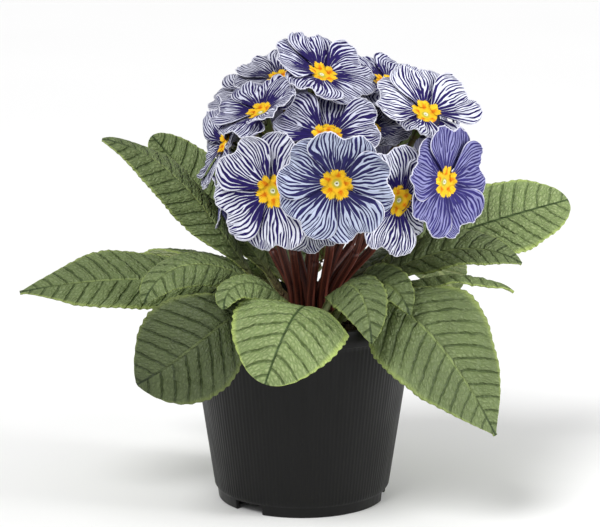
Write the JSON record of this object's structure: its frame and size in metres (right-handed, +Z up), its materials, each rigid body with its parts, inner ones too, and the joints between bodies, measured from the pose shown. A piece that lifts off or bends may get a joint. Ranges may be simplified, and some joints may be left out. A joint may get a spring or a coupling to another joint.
{
  "type": "potted primrose",
  "caption": "Potted primrose: a rosette of broad crinkled leaves and a dome of striped flowers on short stalks, in a ribbed nursery pot.",
  "frame": {"origin": "centre of the underside of the pot, which is also the bottom centre of the whole plant's box", "axes": "+Z up along the pot's axis; -Y towards the side that the picture shows; +X to the right in the picture"},
  "size_m": [0.2525, 0.1603, 0.2142],
  "materials": {
    "pot_plastic": "satin black",
    "peat": "damp and crumbly",
    "crown_flesh": "matte",
    "blade": "crinkled, softly shining",
    "stem": "downy",
    "petal": "velvety"
  },
  "bodies": {
    "root": {"bloom_back": "petal", "bloom_back_left": "petal", "bloom_back_left_low": "petal", "bloom_back_right": "petal", "bloom_back_right_low": "petal", "bloom_centre": "petal", "bloom_front": "petal", "bloom_front_left": "petal", "bloom_front_right": "petal", "bloom_inner_right": "petal", "bloom_left": "petal", "bloom_left_low": "petal", "bloom_left_upper": "petal", "bloom_low_middle": "petal", "bloom_right": "petal", "bloom_right_side": "petal", "bloom_right_top": "petal", "bloom_top": "petal", "bloom_top_back": "petal", "bloom_top_left": "petal", "bloom_top_left_back": "petal", "bloom_top_right": "petal", "crown": "crown_flesh", "leaf_back": "blade", "leaf_back_left": "blade", "leaf_back_right": "blade", "leaf_far_left": "blade", "leaf_front": "blade", "leaf_front_left_small": "blade", "leaf_front_right_small": "blade", "leaf_left_arched": "blade", "leaf_lower_left": "blade", "leaf_lower_right": "blade", "leaf_right_back": "blade", "leaf_right_edge": "blade", "leaf_right_long": "blade", "leaf_right_small": "blade", "leaf_upper_left": "blade", "leaf_upper_left_back": "blade", "pot": "pot_plastic", "scape_back": "stem", "scape_back_right": "stem", "scape_centre": "stem", "scape_front": "stem", "scape_front_left": "stem", "scape_front_right": "stem", "scape_inner_right": "stem", "scape_left": "stem", "scape_left_low": "stem", "scape_right": "stem", "scape_right_low": "stem", "scape_top": "stem", "scape_top_left": "stem", "soil": "peat"}
  },
  "joints": []
}
